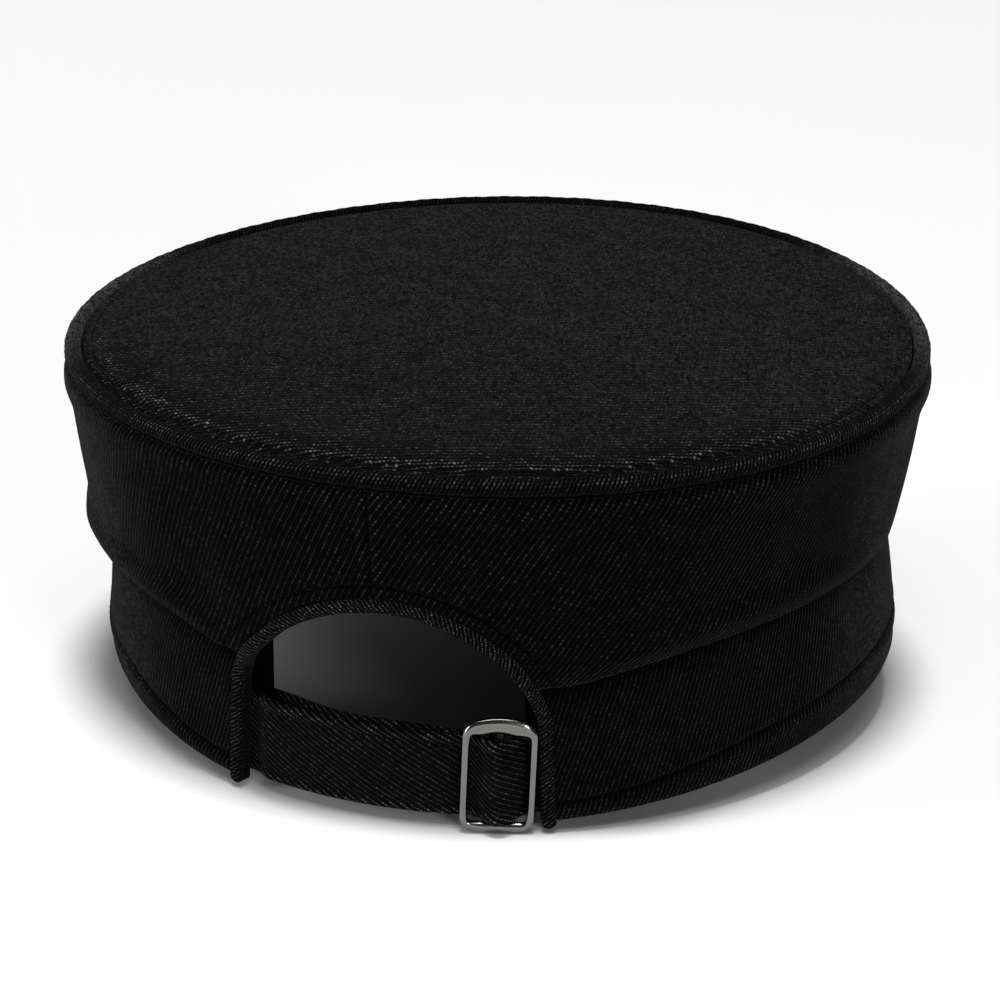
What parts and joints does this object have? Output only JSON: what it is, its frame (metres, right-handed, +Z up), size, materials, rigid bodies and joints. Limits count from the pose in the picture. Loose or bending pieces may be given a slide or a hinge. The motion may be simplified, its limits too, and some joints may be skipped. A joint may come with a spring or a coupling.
{
  "type": "baker boy cap",
  "caption": "Soft flat-topped cap of black twill with a corded rim, a folded crown, an arched back opening closed by a strap and metal slider, and a plain front peak.",
  "frame": {"origin": "middle of the footprint, on the surface that the cap rests on", "axes": "+Y towards the back opening and the strap, the peak points to -Y, +Z up; +X is the side away from the slider"},
  "size_m": [0.2052, 0.2502, 0.0972],
  "materials": {
    "black_twill": "black cotton twill with fine diagonal lines and pale flecks",
    "black_satin": "smooth black satin",
    "dark_nickel": "polished dark nickel plating"
  },
  "bodies": {
    "root": {"crown_top": "black_twill", "crown_piping": "black_twill", "crown_side": "black_twill", "headband": "black_twill", "arch_binding": "black_twill", "lining": "black_satin", "inner_band": "black_satin", "back_strap": "black_twill", "strap_tail": "black_twill", "slider_buckle": "dark_nickel", "peak": "black_twill"}
  },
  "joints": []
}
